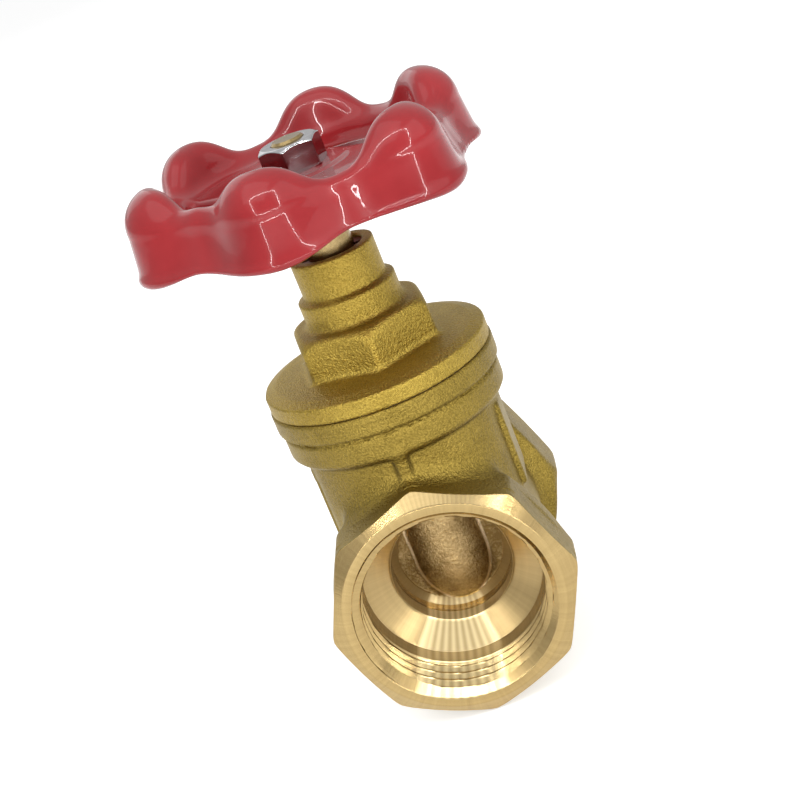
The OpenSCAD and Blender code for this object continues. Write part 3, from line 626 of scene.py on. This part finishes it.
def endBrass():
    # forged flats, turned behind the chamfer line
    material, tree, shader, place = newMaterial("endBrass", Metallic=1.0)
    rawColour, rawHeight = brassNodes(tree, place, shadedBodyTone)
    # the turned colour carries painted glint bars at the foot of the bore and on the chamfer's crown
    cutColour, cutHeight, out, axes = turnedNodes(tree, place)
    away = calc(tree, "ABSOLUTE", axes.outputs[1])
    pastFace = calc(tree, "MAXIMUM", calc(tree, "SUBTRACT", out, port["endFaceR"] * mm), 0)
    line = calc(tree, "SUBTRACT", port["faceY"] * mm, calc(tree, "MULTIPLY", pastFace, port["chamfer"]))
    onChamfer = calc(tree, "GREATER_THAN", away, calc(tree, "SUBTRACT", line, 0.00006))
    inPort = calc(tree, "LESS_THAN", out, port["turnedOut"] * mm)
    machined = calc(tree, "MAXIMUM", onChamfer, inPort)
    tree.links.new(mixColour(tree, machined, rawColour, cutColour), shader.inputs["Base Color"])
    tree.links.new(remap(tree, machined, 0, 1, shadedBodyTone["rough"], turnedTone["rough"]), shader.inputs["Roughness"])
    level = calc(tree, "ADD", calc(tree, "MULTIPLY", rawHeight, calc(tree, "SUBTRACT", 1, machined)),
                 calc(tree, "MULTIPLY", calc(tree, "MULTIPLY", cutHeight, 0.08), machined))
    tree.links.new(bumpFrom(tree, level, forgedBump["strength"], forgedBump["depth"]), shader.inputs["Normal"])
    # tool marks run round the pipe axis
    turning = addNode(tree, "ShaderNodeCombineXYZ")
    tree.links.new(calc(tree, "SUBTRACT", axes.outputs[2], pipeZ * mm), turning.inputs[0])
    tree.links.new(calc(tree, "MULTIPLY", axes.outputs[0], -1), turning.inputs[2])
    tree.links.new(turning.outputs[0], shader.inputs["Tangent"])
    tree.links.new(calc(tree, "MULTIPLY", machined, 0.7), shader.inputs["Anisotropic"])
    # duller toward the throat, and most on the plain bore and the throat's wall
    deep = calc(tree, "MULTIPLY", calc(tree, "LESS_THAN", out, port["deepOut"] * mm),
                remap(tree, away, 0.017, 0.012, 0, 1))
    plain = calc(tree, "MULTIPLY", calc(tree, "GREATER_THAN", out, port["plainOut"] * mm), inPort)
    plain = calc(tree, "MULTIPLY", plain,
                 remap(tree, awayFrom(tree, away, port["plainMid"] * mm), 0.0014, 0.0022, 1, 0))
    plain = calc(tree, "MAXIMUM", plain, calc(tree, "LESS_THAN", out, port["throatOut"] * mm))
    dull = calc(tree, "ADD", calc(tree, "MULTIPLY", deep, 0.28), calc(tree, "MULTIPLY", plain, 0.45))
    tree.links.new(calc(tree, "SUBTRACT", 1.0, dull), shader.inputs["Metallic"])
    return material


finish["end"] = endBrass()
inletEnd = portEnd("inletEnd", -1, finish["end"])
portEnd("outletEnd", 1, finish["end"])
print("threaded ends", len(inletEnd.data.polygons) * 2, "triangles each")

# bonnet: domed flange, soft hexagon and stepped neck
bonnet = {"hexAf": 22.0, "hexTurn": 9.0, "hexFoot": 38.1, "hexTop": 45.3, "step": 0.36}
bonnetOutline = [(0, 28.7), (16.1, 28.7), (16.1, 34.5), (19.15, 34.5), (19.15, 36.9), (17.2, 37.55), (9.5, 38.1),
                 (8.15, 45.6), (8.15, 49.6), (6.95, 50.2), (6.95, 56.4), (0, 56.4)]
bonnetHollow = [(-5, 20), (14.3, 20), (14.3, 34.3), (7.05, 38.0), (7.05, 41.2), (4.06, 41.2), (4.06, 46.4),
                (5.42, 46.4), (5.42, 60), (-5, 60)]


def bonnetField(x, y, z):
    spin = np.sqrt(x * x + y * y)
    solid = outlineField(bonnetOutline, spin, z) - 0.24
    nut = prismField(x, y, bonnet["hexAf"] / 2, 6, math.radians(bonnet["hexTurn"] - 60), 0.7)
    nut = softMax(nut, z - bonnet["hexTop"], 0.9)
    nut = softMax(nut, (spin + z - bonnet["hexTop"] - 11.1) * 0.7, 0.7)
    nut = softMax(nut, bonnet["hexFoot"] - 2 - z, 0.5)
    solid = softMin(solid, nut, 1.2)
    return softMax(solid, -outlineField(bonnetHollow, spin, z), 0.25)


points, faces = skinMesh(bonnetField, (-19.8, -19.8, 28), (19.8, 19.8, 57.2), bonnet["step"])
bonnetForging = makeObject("bonnetForging", points, faces, finish["forged"])
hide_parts("bonnet")
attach(bonnetForging, "body")
print("bonnet", len(faces) * 2, "triangles")

# handwheel: six round posts on a flared rim, flat web with two windows, hub
wheel = {"turn": 21.0, "lobeAt": 22.4, "lobeR": 7.0, "lobeTop": 77.95, "lobeDome": 6.0, "lean": 0.9,
         "innerLean": 0.18, "rimOut": 24.9, "rimTop": 72.6, "rimDome": 2.6, "rimIn": 20.4, "foot": 64.2,
         "flare": 2.2, "flareTop": 71.5, "blend": 4.6, "webLow": 67.6, "webTop": 70.62, "webOut": 23,
         "barHalf": 9.0, "barTo": 141.0, "windowOut": 20.6, "hubR": 8.0, "hubLow": 65.25, "bore": 3.35,
         "wall": 2.7, "bead": 0.3, "pool": 2.0, "poolAt": 30, "poolWide": 0.24, "drip": 0.7, "dripWave": 0.25,
         "step": 0.42}


def roundPost(across, over, dome):
    a, b = across + dome, over + dome
    return np.sqrt(np.maximum(a, 0) ** 2 + np.maximum(b, 0) ** 2) - dome + np.minimum(np.maximum(a, b), 0)


def wheelField(x, y, z):
    spin = np.sqrt(x * x + y * y)
    angle = np.arctan2(y, x) - math.radians(wheel["turn"])
    fold = np.mod(angle + math.pi / 6, math.pi / 3) - math.pi / 6
    px, py = spin * np.cos(fold), spin * np.sin(fold)
    low = np.clip((wheel["flareTop"] - z) / (wheel["flareTop"] - wheel["foot"]), 0, 1)
    bead = wheel["bead"] * np.exp(-((z - wheel["foot"] - 0.5) / 0.8) ** 2)
    bead = bead * (1 + 0.6 * np.sin(9 * angle + 1) * np.sin(4 * angle))
    lobe = np.hypot(px - wheel["lobeAt"], py) - wheel["lobeR"]
    post = roundPost(lobe - wheel["lean"] * low - bead, z - wheel["lobeTop"], wheel["lobeDome"])
    rimOut = wheel["rimOut"] + wheel["flare"] * low ** 1.6 + bead
    fromPool = np.mod(angle + math.pi, 2 * math.pi) - math.radians(wheel["poolAt"])
    pooled = wheel["pool"] * np.exp(-(fromPool / wheel["poolWide"]) ** 2)
    rim = roundPost(spin - rimOut, z - wheel["rimTop"] - pooled, wheel["rimDome"])
    rim = softMin(post, rim, wheel["blend"])
    inner = wheel["rimIn"] + wheel["innerLean"] * np.maximum(z - wheel["webTop"], 0)
    rim = softMax(rim, (inner - spin) * 0.9, 3.0)
    drip = wheel["foot"] - wheel["drip"] * np.cos(6 * angle)
    drip = drip + wheel["dripWave"] * np.sin(5 * angle + 0.4) * np.sin(8 * angle)
    rim = softMax(rim, drip - z, 0.9)
    web = np.maximum(np.maximum(spin - wheel["webOut"], z - wheel["webTop"]), wheel["webLow"] - z)
    bar = math.radians(wheel["barTo"])
    side = np.abs(-x * math.sin(bar) + y * math.cos(bar))
    window = softMax(wheel["barHalf"] - side, spin - wheel["windowOut"], 2.0)
    web = softMax(web, -window, 1.4)
    solid = softMin(rim, web, 2.2)
    plan = softMin(lobe, spin - rimOut, wheel["blend"])
    under = softMax(plan + wheel["wall"], z - wheel["webLow"] - 0.1, 1.0)
    under = softMax(under, wheel["hubR"] + 0.8 - spin, 1.5)
    solid = softMax(solid, -under, 0.8)
    hub = softMax(softMax(spin - wheel["hubR"], z - wheel["webTop"], 0.6), wheel["hubLow"] - z, 0.6)
    solid = softMin(solid, hub, 1.0)
    hole = np.maximum(np.abs(x), np.abs(y)) - wheel["bore"]
    return softMax(solid, -hole, 0.2)


points, faces = skinMesh(wheelField, (-30.9, -30.9, 62.9), (30.9, 30.9, 79.2), wheel["step"], 3)
handwheelCoated = makeObject("handwheelCoated", points, faces, finish["red"])
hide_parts("handwheel")
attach(handwheelCoated, "stem_set")
print("handwheel", len(faces) * 2, "triangles")

# chrome nut with rounded chamfers
nut = {"af": 9.4, "turn": 20.0, "foot": 70.64, "top": 75.6, "footR": 4.7, "topR": 4.55, "bore": 2.86, "step": 0.13}


def nutField(x, y, z):
    spin = np.sqrt(x * x + y * y)
    solid = prismField(x, y, nut["af"] / 2, 6, math.radians(nut["turn"] + 30), 0.18)
    solid = softMax(solid, np.maximum(z - nut["top"], nut["foot"] - z), 0.12)
    solid = softMax(solid, (spin - nut["topR"] - 1.5 * (nut["top"] - z)) * 0.55, 0.12)
    solid = softMax(solid, (spin - nut["footR"] - 1.7 * (z - nut["foot"])) * 0.5, 0.12)
    return np.maximum(solid, nut["bore"] - spin)


points, faces = skinMesh(nutField, (-5.8, -5.8, 70.3), (5.8, 5.8, 76.1), nut["step"])
chromeNut = makeObject("chromeNut", points, faces, finish["chrome"], 40)
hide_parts("handwheel_nut")
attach(chromeNut, "stem_set")
print("nut", len(faces) * 2, "triangles")

# cast gate: wedge with seat rings, a turned lip and on each face the swell that takes the stem
gate = {"r": 12.3, "half": 5.3, "slope": 0.0524, "ringIn": 10.32, "lipIn": 9.05, "lipLow": 3.1, "lipHigh": 3.85,
        "faceAt": 2.6, "swellX": 7.3, "swellY": 5.1, "swellZ": 10.3, "swellMid": -0.5, "bossX": 6.4, "bossTop": 17.9,
        "stemRoom": 4.1, "skin": 0.4, "slotHalf": 1.85, "slotX": 10.75, "step": 0.33, "columns": 192}


def gateField(x, y, z):
    out = np.sqrt(x * x + z * z)
    ay = np.abs(y)
    lean = gate["slope"] * z
    lipSlope = (gate["lipHigh"] - gate["lipLow"]) / (gate["ringIn"] - gate["lipIn"])
    ring = np.maximum(ay - gate["half"] - lean, gate["ringIn"] + 0.15 - out)
    lip = ay - gate["lipLow"] + 0.15 - lean - lipSlope * (out - gate["lipIn"])
    lip = np.maximum(lip, gate["lipIn"] + 0.1 - out)
    disc = softMin(np.minimum(ring, lip), ay - gate["faceAt"] - lean, 0.15)
    disc = softMax(disc, out - gate["r"], 0.5)
    wide = gate["swellX"] - (gate["swellX"] - gate["bossX"]) * np.clip((z - 5) / 6, 0, 1)
    down = np.minimum(z - gate["swellMid"], 0) / gate["swellZ"]
    swell = 5.0 * (np.sqrt((x / wide) ** 2 + (y / gate["swellY"]) ** 2 + down ** 2) - 1)
    swell = softMax(swell, z - gate["bossTop"], 0.6)
    solid = softMin(disc, swell, 0.5)
    slot = np.maximum(ay - gate["slotHalf"], gate["slotX"] - np.abs(x))
    solid = softMax(solid, -slot, 0.25)
    bore = softMax(np.sqrt(x * x + y * y) - gate["stemRoom"], np.minimum(solid + gate["skin"], 8 - z), 0.3)
    return softMax(solid, -bore, 0.2) * 0.85


points, faces = skinMesh(gateField, (-12.7, -6.6, -12.7), (12.7, 6.6, 18.4), gate["step"])
castGate = makeObject("castGate", points, faces, finish["gate"])
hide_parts("gate_wedge")
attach(castGate, "gate")
print("gate", len(faces) * 2, "triangles")


def lipRing(name, sign):
    outline = [(gate["ringIn"], gate["half"]), (gate["ringIn"], gate["lipHigh"] + 0.06),
               (gate["ringIn"] - 0.05, gate["lipHigh"]), (gate["lipIn"] + 0.04, gate["lipLow"] + 0.02),
               (gate["lipIn"], gate["lipLow"] - 0.03), (gate["lipIn"], gate["faceAt"] - 0.2),
               (gate["ringIn"] + 0.4, gate["faceAt"] - 0.2), (gate["ringIn"] + 0.4, gate["half"])]
    columns = gate["columns"]
    angle = 2 * math.pi * np.arange(columns) / columns
    rows = []
    for r, a in outline:
        x, z = r * np.sin(angle), r * np.cos(angle)
        clear = np.sqrt(np.maximum((gate["stemRoom"] + 0.1) ** 2 - x * x, 0)) * (z > 0)  # past the stem's bore
        rows.append(np.stack([x, sign * np.maximum(a + gate["slope"] * z, clear), z], 1))
    points = np.concatenate(rows)
    faces = ringFaces(len(outline), columns)
    piece = makeObject(name, points, faces if sign < 0 else faces[:, ::-1], finish["turned"], 24)
    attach(piece, "gate")


lipRing("gateLipInlet", -1)
lipRing("gateLipOutlet", 1)

# stem: left-hand thread, thrust collar, square for the wheel, and a foot that fits the raised gate's hollow
stem = {"columns": 96, "r": 4.0, "rootR": 3.2, "lead": 3.0, "flat": 1.1, "threadFoot": 17.8, "threadTop": 41.0,
        "fade": 2.5, "rowStep": 0.15, "collarR": 5.35, "collarLow": 46.96, "collarHigh": 48.96, "seat": 65.22,
        "squareHalf": 3.1, "squareCorner": 3.97, "squareTop": 70.57, "endR": 2.8, "endBevel": 0.4, "top": 76.02}
noseOutline = [(11.3, 1.0), (11.6, 1.3), (13.2, 1.35), (14.6, 2.55), (15.6, 3.1), (16.6, 3.5), (17.6, 3.8)]


def stemRows(angle):
    square = stem["squareHalf"] / np.maximum(np.abs(np.cos(angle)), np.abs(np.sin(angle)))
    square = np.minimum(square, stem["squareCorner"])
    rows = [(height, radius, 0) for height, radius in noseOutline]
    rows += [(height, stem["r"], 1) for height in np.arange(stem["threadFoot"], stem["threadTop"], stem["rowStep"])]
    rows += [(height, radius, 0) for height, radius in (
        (stem["threadTop"], stem["r"]), (stem["collarLow"], stem["r"]), (stem["collarLow"], stem["collarR"]),
        (stem["collarHigh"], stem["collarR"]), (stem["collarHigh"], stem["r"]), (stem["seat"], stem["r"]),
        (stem["seat"], square), (stem["squareTop"], square), (stem["squareTop"], stem["endR"]),
        (stem["top"] - stem["endBevel"], stem["endR"]), (stem["top"], stem["endR"] - stem["endBevel"]))]
    return rows


def stemMesh(name, material):
    # drawn along Y for the thread tree, then Y and Z change places, which winds the thread left-handed
    columns = stem["columns"]
    angle = 2 * math.pi * np.arange(columns) / columns
    rows = stemRows(angle)
    points = [np.stack([r * np.sin(angle), np.full(columns, h), r * np.cos(angle)], 1) for h, r, t in rows]
    points.append(np.array([(0, rows[0][0], 0), (0, rows[-1][0], 0)]))
    marks = np.concatenate([np.full(columns, float(t)) for h, r, t in rows] + [np.zeros(2)])
    faces = []
    for i in range(len(rows) - 1):
        for j in range(columns):
            low, high, n = i * columns, (i + 1) * columns, (j + 1) % columns
            faces.append((low + j, high + j, high + n, low + n))
    foot, crown, last = len(rows) * columns, len(rows) * columns + 1, (len(rows) - 1) * columns
    faces += [(foot, j, (j + 1) % columns) for j in range(columns)]
    faces += [(crown, last + (j + 1) % columns, last + j) for j in range(columns)]
    mesh = bpy.data.meshes.new(name)
    mesh.from_pydata((np.concatenate(points) * mm).tolist(), [], faces)
    mesh.attributes.new("threaded", "FLOAT", "POINT").data.foreach_set("value", marks)
    values = {"Pitch": stem["lead"] * mm, "Minor Radius": stem["r"] * mm, "Major Radius": stem["rootR"] * mm,
              "Root Flat": stem["flat"] * mm, "Crest Flat": stem["flat"] * mm,
              "Run Out Start": stem["threadTop"] * mm, "Run Out": -stem["fade"] * mm, "Mouth Radius": 0.0,
              "Face Distance": 0.0, "Lead In Slope": 0.0, "Material": material}
    made = throughNodes(name, mesh, pipeThread, values)
    made.transform(Matrix(((1, 0, 0, 0), (0, 0, 1, 0), (0, 1, 0, pipeZ * mm), (0, 0, 0, 1))))
    made.shade_smooth()
    made.set_sharp_from_angle(angle=math.radians(30))
    return made


turnedStem = bpy.data.objects.new("turnedStem", stemMesh("turnedStem", finish["stem"]))
scene.collection.objects.link(turnedStem)
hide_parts("stem")
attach(turnedStem, "stem_set")
print("stem", len(turnedStem.data.polygons) * 2, "triangles")

# pieces shown straight from the frame
cadFinish = {"bonnet_gasket": "gasket", "lower_thrust_washer": "ptfe", "upper_thrust_washer": "ptfe",
             "packing_ring_lower": "packing", "packing_ring_middle": "packing", "packing_ring_upper": "packing",
             "gland_follower": "gland", "gland_nut": "gland"}
for nodeName, finishName in cadFinish.items():
    mesh = cad[nodeName].data
    mesh.materials.clear()
    mesh.materials.append(finish[finishName])
print("frame pieces painted")

# camera, floor, world and lamps
view = {"azimuth": 0.1327238, "height": 0.4288612, "distance": 313.6128, "aim": (1.2365, 0, 27.8511),
        "roll": -0.3839439, "focal": 1806.0992, "sensor": 36, "picture": 800}
back = Vector((math.sin(view["azimuth"]) * math.cos(view["height"]),
               -math.cos(view["azimuth"]) * math.cos(view["height"]), math.sin(view["height"])))
eye = back * view["distance"]
ahead = (Vector(view["aim"]) - eye).normalized()
right = ahead.cross(Vector((0, 0, 1))).normalized()
up = right.cross(ahead)
spun = math.cos(view["roll"]) * right + math.sin(view["roll"]) * up
top = -math.sin(view["roll"]) * right + math.cos(view["roll"]) * up
lens = bpy.data.cameras.new("photoCamera")
lens.sensor_width = view["sensor"]
lens.lens = view["focal"] * view["sensor"] / view["picture"]
lens.clip_start = 0.01
camera = bpy.data.objects.new("photoCamera", lens)
turned = Matrix((spun, top, -ahead)).transposed().to_4x4()
camera.matrix_world = Matrix.Translation((eye + Vector((0, 0, pipeZ))) * mm) @ turned
scene.collection.objects.link(camera)
scene.camera = camera

stage = {"half": 3, "floor": (0.86, 0.86, 0.86, 1), "floorGlow": 0.55, "fill": 0.42}


def seenRays(tree):
    # what the camera, gloss and glass see
    rays = addNode(tree, "ShaderNodeLightPath").outputs
    shown = calc(tree, "MAXIMUM", rays["Is Camera Ray"], rays["Is Glossy Ray"])
    return rays["Is Camera Ray"], calc(tree, "MAXIMUM", shown, rays["Is Transmission Ray"])


half = stage["half"]
floorMesh = bpy.data.meshes.new("floor")
floorMesh.from_pydata([(-half, -half, 0), (half, -half, 0), (half, half, 0), (-half, half, 0)], [], [(0, 1, 2, 3)])
floor = bpy.data.objects.new("floor", floorMesh)
scene.collection.objects.link(floor)
floorPaint = bpy.data.materials.new("paleFloor")
floorPaint.use_nodes = True
tree = floorPaint.node_tree
shader = tree.nodes["Principled BSDF"]
shader.inputs["Base Color"].default_value = stage["floor"]
shader.inputs["Roughness"].default_value = 0.9
shader.inputs["Emission Color"].default_value = (1, 1, 1, 1)
shown = seenRays(tree)[1]
tree.links.new(calc(tree, "MULTIPLY", shown, stage["floorGlow"]), shader.inputs["Emission Strength"])
floorMesh.materials.append(floorPaint)

world = bpy.data.worlds.new("studio")
world.use_nodes = True
scene.world = world
tree = world.node_tree
cameraRay, shown = seenRays(tree)
ground = tree.nodes["Background"]
ground.inputs["Color"].default_value = (1, 1, 1, 1)
sky = addNode(tree, "ShaderNodeSeparateXYZ")
tree.links.new(addNode(tree, "ShaderNodeTexCoord").outputs["Generated"], sky.inputs[0])
overhead = remap(tree, sky.outputs[2], -0.1, 0.9, 0.5, 1.0)
seen = calc(tree, "MAXIMUM", cameraRay, calc(tree, "MULTIPLY", shown, overhead))
tree.links.new(calc(tree, "MAXIMUM", seen, stage["fill"]), ground.inputs["Strength"])
scene.view_settings.view_transform = "Standard"


def lamp(name, place, target, width, height, power):
    light = bpy.data.lights.new(name, "AREA")
    light.shape = "RECTANGLE"
    light.size, light.size_y, light.energy = width, height, power
    piece = bpy.data.objects.new(name, light)
    piece.location = place
    piece.rotation_euler = (Vector(target) - Vector(place)).to_track_quat("-Z", "Y").to_euler()
    piece.visible_camera = False
    scene.collection.objects.link(piece)


lampAim = (0, 0, 0.06)
lamp("softTop", (-0.2, -0.5, 1.1), lampAim, 1.2, 1.2, 4.0)
lamp("softRight", (0.9, -0.4, 0.6), lampAim, 0.9, 0.9, 2.0)
lamp("softBack", (-0.6, 0.9, 0.7), lampAim, 0.9, 0.9, 1.6)
# four narrow bars in front, which the gloss shows as a frame
bars = {"at": (0.05, -0.47, 0.29), "wide": 0.62, "high": 0.50, "thick": 0.010, "power": 0.9}
middle = Vector(bars["at"])
facing = (Vector(lampAim) - middle).normalized()
across = facing.cross(Vector((0, 0, 1))).normalized()
rise = across.cross(facing)
for name, shift, width, height in (("frameLow", -rise * bars["high"] / 2, bars["wide"], bars["thick"]),
                                   ("frameTop", rise * bars["high"] / 2, bars["wide"], bars["thick"]),
                                   ("frameLeft", -across * bars["wide"] / 2, bars["thick"], bars["high"]),
                                   ("frameRight", across * bars["wide"] / 2, bars["thick"], bars["high"])):
    lamp(name, middle + shift, middle + shift + facing, width, height, bars["power"])
print("stage set")
